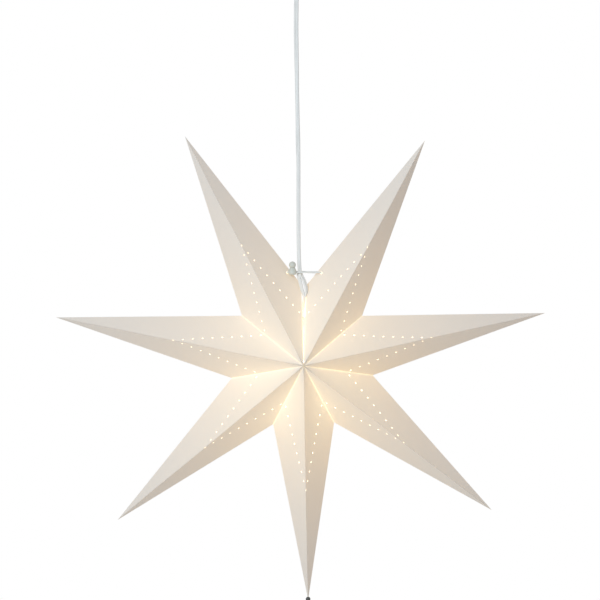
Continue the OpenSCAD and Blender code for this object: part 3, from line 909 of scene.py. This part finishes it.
class ADVENT_OT_points(bpy.types.Operator):
    """Dress the star's folded points with card that bows a little"""

    bl_idname = "advent.points"
    bl_label = "Card points"

    # Spacing of the grid that the walls are cut into, and its offset, which keeps it off the
    # star's own corners
    grid = 14 * MM
    grid_offset = 0.37
    # Distance from a seam or an outer edge over which the card comes to lie flat
    calm = 12 * MM
    # Places further out than this tell how wide the point spreads
    spread_reach = 60 * MM
    fold_angle = math.radians(20)
    flat_angle = math.radians(0.3)
    # Without a seed, the noise would start from the clock and bow the card anew each run
    seed = 7

    def angles(self, bm):
        """The direction of a point's tip round the star's axis, and half of its spread."""
        offsets = [v.co - STAR_CENTRE for v in bm.verts]
        tip = max(offsets, key=lambda offset: offset.length)
        aim = math.atan2(tip.x, -tip.z)
        half = 0
        for offset in offsets:
            if math.hypot(offset.x, offset.z) > self.spread_reach:
                turn = math.atan2(offset.x, -offset.z) - aim
                half = max(half, abs((turn + math.pi) % math.tau - math.pi))
        return aim, half

    def slice(self, bm, aim):
        """Cuts the flat walls into a grid, so that they can bow."""
        bmesh.ops.dissolve_limit(
            bm, angle_limit=self.flat_angle, use_dissolve_boundaries=False, verts=bm.verts, edges=bm.edges
        )
        along = Vector((math.sin(aim), 0, -math.cos(aim)))
        across = Vector((math.cos(aim), 0, math.sin(aim)))
        for direction in (along, across):
            spans = [(v.co - STAR_CENTRE).dot(direction) for v in bm.verts]
            first, last = math.ceil(min(spans) / self.grid), math.floor(max(spans) / self.grid)
            for step in range(first, last + 1):
                bmesh.ops.bisect_plane(
                    bm,
                    geom=bm.verts[:] + bm.edges[:] + bm.faces[:],
                    dist=1e-6,
                    plane_co=STAR_CENTRE + direction * (step + self.grid_offset) * self.grid,
                    plane_no=direction,
                )
        bmesh.ops.remove_doubles(bm, verts=bm.verts, dist=2e-6)
        bmesh.ops.triangulate(bm, faces=bm.faces)

    def measure(self, bm, aim, half):
        """Notes how far each place lies from the point's two seams and from its ridge."""
        for name, angle in (("seam_before", aim - half), ("seam_after", aim + half), ("ridge", aim)):
            layer = bm.verts.layers.float.new(name)
            across = Vector((math.cos(angle), 0, math.sin(angle)))
            for v in bm.verts:
                v[layer] = (v.co - STAR_CENTRE).dot(across)

    def bow(self, bm, aim, half, settings):
        """Moves the card's walls in and out. Seams, tips and outer edges stay in place."""
        for v in bm.verts:
            offset = v.co - STAR_CENTRE
            reach = math.hypot(offset.x, offset.z)
            turn = (math.atan2(offset.x, -offset.z) - aim + math.pi) % math.tau - math.pi
            from_seam = reach * math.sin(max(0, half - abs(turn)))
            free = smooth_step(0, self.calm, from_seam) * smooth_step(0, self.calm, abs(offset.y))
            if free > 0:
                push = noise.noise_vector(offset / settings.wave)
                v.co += push * settings.slack * free

    def execute(self, context):
        settings = context.scene.advent_card
        noise.seed_set(self.seed)
        material = card_material(settings, context.scene.advent_lamp)
        for name in POINTS:
            bm = bmesh.new()
            bm.from_mesh(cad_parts[name].data)
            bmesh.ops.remove_doubles(bm, verts=bm.verts, dist=1e-6)
            aim, half = self.angles(bm)
            self.slice(bm, aim)
            self.measure(bm, aim, half)
            self.bow(bm, aim, half, settings)
            for face in bm.faces:
                face.smooth = True
            for edge in bm.edges:
                edge.smooth = edge.calc_face_angle(0) < self.fold_angle
            mesh = bpy.data.meshes.new(name + "_card")
            bm.to_mesh(mesh)
            bm.free()
            finish_piece(mesh_object(name + "_card", mesh, material), [name])
        return {"FINISHED"}


def textile(name, light, dark):
    """Braided polyester yarn. It is matt and soft, with a faint sheen, and its colour is darker in the bump's
    valleys: the filaments' own tone and painted shade.
    """
    material, tree, output = new_material(name)
    place = add_node(tree, "ShaderNodeTexCoord").outputs["Object"]
    # Filaments about 0.15 mm apart
    fibres = add_node(
        tree, "ShaderNodeTexNoise", {"Vector": place, "Scale": 1 / (0.6 * MM), "Detail": 5, "Roughness": 0.7}
    )
    # The tone follows the same noise as the bump, so the valleys are darker: painted shade over the
    # filaments' own tone
    tone = add_node(
        tree,
        "ShaderNodeMix",
        {"Factor": fibres, 6: linear(dark), 7: linear(light)},
        data_type="RGBA",
    )
    bump = add_node(
        tree, "ShaderNodeBump", {"Height": fibres, "Strength": 0.6, "Distance": 0.05 * MM}
    )
    shader = add_node(
        tree,
        "ShaderNodeBsdfPrincipled",
        {
            "Base Color": tone.outputs[2],
            "Roughness": 0.8,
            "Sheen Weight": 0.3,
            "Normal": bump,
        },
    )
    tree.links.new(shader.outputs[0], output.inputs["Surface"])
    return material


def moulded(name, light, dark, roughness, grain, relief):
    """Injection-moulded plastic or pressed ceramic: a soft shade of tone and a fine mould texture."""
    material, tree, output = new_material(name)
    place = add_node(tree, "ShaderNodeTexCoord").outputs["Object"]
    flow = add_node(tree, "ShaderNodeTexNoise", {"Vector": place, "Scale": 1 / (7 * MM), "Detail": 3})
    tone = add_node(
        tree,
        "ShaderNodeMix",
        {"Factor": flow, 6: linear(dark), 7: linear(light)},
        data_type="RGBA",
    )
    gloss = add_node(
        tree,
        "ShaderNodeMapRange",
        {"Value": flow, "To Min": roughness - 0.06, "To Max": roughness + 0.06},
    )
    texture = add_node(tree, "ShaderNodeTexNoise", {"Vector": place, "Scale": 1 / grain, "Detail": 3})
    bump = add_node(
        tree, "ShaderNodeBump", {"Height": texture, "Strength": 0.5, "Distance": relief}
    )
    shader = add_node(
        tree,
        "ShaderNodeBsdfPrincipled",
        {"Base Color": tone.outputs[2], "Roughness": gloss, "Normal": bump},
    )
    tree.links.new(shader.outputs[0], output.inputs["Surface"])
    return material


def bare_metal(name, light, dark, roughness, line):
    """Sheet or turned metal with fine lines round it, a line's width apart."""
    material, tree, output = new_material(name)
    place = add_node(tree, "ShaderNodeTexCoord").outputs["Object"]
    stretched = add_node(tree, "ShaderNodeMapping", {"Vector": place, "Scale": (0.05, 0.05, 1.0)})
    lines = add_node(
        tree, "ShaderNodeTexNoise", {"Vector": stretched, "Scale": 1 / line, "Detail": 4}
    )
    cloud = add_node(tree, "ShaderNodeTexNoise", {"Vector": place, "Scale": 1 / (5 * MM), "Detail": 3})
    tone = add_node(
        tree,
        "ShaderNodeMix",
        {"Factor": cloud, 6: linear(dark), 7: linear(light)},
        data_type="RGBA",
    )
    gloss = add_node(
        tree,
        "ShaderNodeMapRange",
        {"Value": lines, "To Min": roughness - 0.1, "To Max": roughness + 0.12},
    )
    bump = add_node(
        tree, "ShaderNodeBump", {"Height": lines, "Strength": 0.4, "Distance": 0.02 * MM}
    )
    shader = add_node(
        tree,
        "ShaderNodeBsdfPrincipled",
        {
            "Base Color": tone.outputs[2],
            "Metallic": 1.0,
            "Roughness": gloss,
            "Normal": bump,
        },
    )
    tree.links.new(shader.outputs[0], output.inputs["Surface"])
    return material


def rounded_route(corners, radius, steps):
    """A route of straight runs whose corners are rounded."""
    route = [corners[0]]
    for before, here, after in zip(corners, corners[1:], corners[2:]):
        enter = here + (before - here).normalized() * min(radius, (before - here).length / 2)
        leave = here + (after - here).normalized() * min(radius, (after - here).length / 2)
        for k in range(steps + 1):
            t = k / steps
            route.append(enter * (1 - t) ** 2 + here * 2 * t * (1 - t) + leave * t**2)
    return [*route, corners[-1]]


class ADVENT_OT_tie(bpy.types.Operator):
    """Braid the elastic tie and colour its toggle and the bead on the bottom tip"""

    bl_idname = "advent.tie"
    bl_label = "Tie and beads"

    # Where the front run leaves the cord, and the gap between the elastic's two ends
    cord_pass = 3 * MM
    end_gap = 0.3 * MM
    bend = 1.3 * MM

    def execute(self, context):
        settings = context.scene.advent_cord
        radius = settings.elastic / 2
        low, high = (corner.copy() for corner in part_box("tie_elastic"))
        left, right, run = low.x + radius, high.x - radius, high.y - radius
        left_height, right_height = high.z - radius, low.z + radius
        toggle_low, toggle_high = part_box("tie_toggle")
        toggle = (toggle_low + toggle_high) / 2
        bell = (toggle_high.x - toggle_low.x) / 2
        corners = [
            Vector(spot)
            for spot in (
                (toggle.x - self.end_gap / 2, toggle.y, left_height),
                (toggle.x - bell - 2 * self.end_gap, toggle.y, left_height),
                (left, -run, left_height),
                (left, run, left_height),
                (right, run, right_height),
                (right, -run, right_height),
                (STAR_CENTRE.x + self.cord_pass, toggle.y, left_height),
                (toggle.x + self.end_gap / 2, toggle.y, left_height),
            )
        ]
        braid = grow(
            "elastic_braid",
            braid_tree(),
            {
                "Yarns": settings.yarns,
                "Core Radius": radius * 0.66,
                "Yarn Radius": radius * 0.25,
                "Weave": radius * 0.08,
                "Pitch": 6 * MM,
                "Step": 0.35 * MM,
            },
            textile("braided_polyester", "FAF9F5", "E4E2DC"),
            rounded_route(corners, self.bend, 6),
        )
        finish_piece(braid, ["tie_elastic"])
        paint("tie_toggle", moulded("moulded_polypropylene", "DBDACF", "CFCEC3", 0.42, 0.5 * MM, 0.02 * MM))
        paint("tip_bead", moulded("lacquered_wood", "45463F", "33342F", 0.3, 1.2 * MM, 0.03 * MM))
        return {"FINISHED"}


class ADVENT_OT_bulb(bpy.types.Operator):
    """Light the frosted bulb and cut the thread on its cap"""

    bl_idname = "advent.bulb"
    bl_label = "Bulb"

    segments = 64

    def globe(self, settings, holder):
        """The frosted globe, which narrows in one smooth curve to its cap."""
        cap_end = BULB_HIGH.z - 20 * MM
        neck = holder.cap / 2 * 0.98
        arc, curve = 26, 12
        leave = math.radians(45)
        profile = []
        for k in range(arc + 1):
            a = -math.pi / 2 + (leave + math.pi / 2) * k / arc
            radius = GLOBE_RADIUS * math.cos(a) if k else 0
            profile.append((radius, GLOBE_CENTRE.z + GLOBE_RADIUS * math.sin(a)))
        radius, height = profile[-1]
        # The curve leaves the globe at its own slope and ends straight up at the cap
        bend = (radius - (cap_end - height) * 0.42, height + (cap_end - height) * 0.42)
        bend = (max(bend[0], neck), bend[1])
        for k in range(1, curve + 1):
            t = k / curve
            profile.append(
                tuple(
                    (1 - t) ** 2 * a + 2 * t * (1 - t) * b + t**2 * c
                    for a, b, c in zip((radius, height), bend, (neck, cap_end))
                )
            )
        profile.append((0, cap_end))
        bm = bmesh.new()
        lathe(bm, profile, GLOBE_CENTRE.x, GLOBE_CENTRE.y, self.segments)
        material, tree, output = new_material("frosted_bulb_glass")
        place = add_node(tree, "ShaderNodeTexCoord").outputs["Object"]
        # The etched inside gives a faint mottle, drawn at 3 mm so that it shows
        frost = add_node(tree, "ShaderNodeTexNoise", {"Vector": place, "Scale": 1 / (3 * MM), "Detail": 2})
        light = add_node(
            tree,
            "ShaderNodeVectorMath",
            {
                0: tuple(settings.colour)[:3],
                "Scale": add_node(
                    tree, "ShaderNodeMapRange", {"Value": frost, "To Min": 0.92, "To Max": 1.08}
                ).outputs[0],
            },
            operation="SCALE",
        )
        shader = add_node(
            tree,
            "ShaderNodeBsdfPrincipled",
            {
                "Base Color": linear("F7F2E8"),
                "Roughness": 0.35,
                "Emission Color": light,
                "Emission Strength": settings.power,
            },
        )
        tree.links.new(shader.outputs[0], output.inputs["Surface"])
        finish_piece(built_object("bulb_globe", bm, material), ["bulb"])

    def cap(self, holder):
        """The plated screw cap with its thread and its dark insulator."""
        top = BULB_HIGH.z
        radius = holder.cap / 2
        plated = bare_metal("nickel_plated_brass", "D9D3C4", "C4BDAA", 0.3, 0.3 * MM)
        bm = bmesh.new()
        profile = (
            (0, top - 22 * MM),
            (radius, top - 22 * MM),
            (radius, top - 20.5 * MM),
            (radius - 0.7 * MM, top - 19.5 * MM),
            (radius - 0.7 * MM, top - 4.4 * MM),
            (radius - 1.6 * MM, top - 3 * MM),
            (0, top - 3 * MM),
        )
        lathe(bm, profile, GLOBE_CENTRE.x, GLOBE_CENTRE.y, self.segments)
        finish_piece(built_object("bulb_cap", bm, plated))
        wire = 0.55 * MM
        turns = 5
        thread = grow(
            "bulb_thread",
            thread_tree(),
            {
                "Turns": float(turns),
                "Thread Radius": radius - wire,
                "Wire Radius": wire,
                "Rise": turns * holder.pitch,
                "Foot": (GLOBE_CENTRE.x, GLOBE_CENTRE.y, top - 19 * MM),
            },
            plated,
        )
        finish_piece(thread)
        bm = bmesh.new()
        profile = (
            (0, top - 3.2 * MM),
            (radius * 0.7, top - 3.2 * MM),
            (radius * 0.66, top - 2 * MM),
            (radius * 0.4, top - 0.9 * MM),
            (radius * 0.33, top - 0.3 * MM),
            (radius * 0.25, top),
            (0, top),
        )
        lathe(bm, profile, GLOBE_CENTRE.x, GLOBE_CENTRE.y, self.segments)
        insulator = moulded("black_vitrite", "2A2926", "1C1B19", 0.25, 1 * MM, 0.02 * MM)
        finish_piece(built_object("bulb_insulator", bm, insulator))

    def execute(self, context):
        self.globe(context.scene.advent_lamp, context.scene.advent_holder)
        self.cap(context.scene.advent_holder)
        return {"FINISHED"}


class ADVENT_OT_holder(bpy.types.Operator):
    """Finish the lampholder and put grip ribs round it"""

    bl_idname = "advent.holder"
    bl_label = "Lampholder"

    rib_radius = 0.7 * MM
    rib_margin = 5 * MM

    def execute(self, context):
        settings = context.scene.advent_holder
        thermoset = moulded("pressed_urea_resin", "F1EFE8", "E7E4DB", 0.36, 0.6 * MM, 0.015 * MM)
        brass = bare_metal("stamped_brass", "D8BC7A", "C4A25C", 0.3, 0.25 * MM)
        zinc = bare_metal("zinc_plated_steel", "D3D6D8", "BFC3C6", 0.34, 0.3 * MM)
        for name in ("holder_cap", "holder_shell", "cord_grip"):
            paint(name, thermoset)
        paint("contact_carrier", moulded("pressed_steatite", "E9E5DB", "DDD8CC", 0.5, 0.4 * MM, 0.03 * MM))
        for name in ("screw_shell", "centre_contact"):
            paint(name, brass)
        paint("grip_screw", zinc)
        low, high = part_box("holder_shell")
        cap_low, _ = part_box("holder_cap")
        bottom, top = low.z + self.rib_margin, cap_low.z - self.rib_margin
        ribs = grow(
            "holder_ribs",
            rib_ring_tree(),
            {
                "Ribs": settings.ribs,
                "Wall Radius": (high.x - low.x) / 2,
                "Rib Radius": self.rib_radius,
                "Rib Length": top - bottom,
                "Centre": (STAR_CENTRE.x, 0, (bottom + top) / 2),
            },
            thermoset,
        )
        finish_piece(ribs)
        return {"FINISHED"}


class ADVENT_OT_ceiling(bpy.types.Operator):
    """Finish the ceiling cup with its bracket, gland, terminal block and screws"""

    bl_idname = "advent.ceiling"
    bl_label = "Ceiling cup"

    grip_ribs = 18
    rib_radius = 0.5 * MM

    def execute(self, context):
        abs_plastic = moulded("moulded_abs", "F3F2EE", "EBEAE5", 0.32, 0.8 * MM, 0.012 * MM)
        nylon = moulded("moulded_nylon", "EFEDE6", "E4E1D8", 0.45, 0.7 * MM, 0.02 * MM)
        zinc = bare_metal("zinc_plated_sheet", "CFD3D6", "B9BEC2", 0.36, 0.3 * MM)
        paint("ceiling_cup", abs_plastic)
        for name in ("ceiling_gland", "gland_nut", "terminal_block"):
            paint(name, nylon)
        for name in ("ceiling_bracket", "cup_screws"):
            paint(name, zinc)
        paint("terminal_screws", bare_metal("turned_brass", "D4B873", "BF9E58", 0.32, 0.2 * MM))
        low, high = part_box("ceiling_gland")
        cup_low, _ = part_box("ceiling_cup")
        length = (cup_low.z - low.z) / 2
        ribs = grow(
            "gland_ribs",
            rib_ring_tree(),
            {
                "Ribs": self.grip_ribs,
                "Wall Radius": (high.x - low.x) / 2,
                "Rib Radius": self.rib_radius,
                "Rib Length": length - self.rib_radius,
                "Centre": (0, 0, cup_low.z - length / 2),
            },
            nylon,
        )
        finish_piece(ribs)
        return {"FINISHED"}


OPERATORS = (
    ADVENT_OT_stage,
    ADVENT_OT_cord,
    ADVENT_OT_points,
    ADVENT_OT_tie,
    ADVENT_OT_bulb,
    ADVENT_OT_holder,
    ADVENT_OT_ceiling,
)


class ADVENT_PT_star(bpy.types.Panel):
    """Buttons for each part of the star"""

    bl_label = "Advent Star"
    bl_idname = "ADVENT_PT_star"
    bl_space_type = "VIEW_3D"
    bl_region_type = "UI"
    bl_category = "Advent Star"

    def draw(self, context):
        for operator in OPERATORS:
            self.layout.operator(operator.bl_idname)
        for name, group in SETTINGS.items():
            box = self.layout.box()
            box.label(text=group.__doc__)
            for prop in group.__annotations__:
                box.prop(getattr(context.scene, "advent_" + name), prop)


CLASSES = (*SETTINGS.values(), *OPERATORS, ADVENT_PT_star)


def register():
    for item in CLASSES:
        bpy.utils.register_class(item)
    for name, group in SETTINGS.items():
        setattr(bpy.types.Scene, "advent_" + name, PointerProperty(type=group))


def unregister():
    for name in SETTINGS:
        delattr(bpy.types.Scene, "advent_" + name)
    for item in reversed(CLASSES):
        bpy.utils.unregister_class(item)


def main():
    """Builds the dressed star."""
    register()
    bpy.ops.advent.stage()
    bpy.ops.advent.cord()
    bpy.ops.advent.points()
    bpy.ops.advent.tie()
    bpy.ops.advent.bulb()
    bpy.ops.advent.holder()
    bpy.ops.advent.ceiling()


if __name__ == "__main__":
    main()
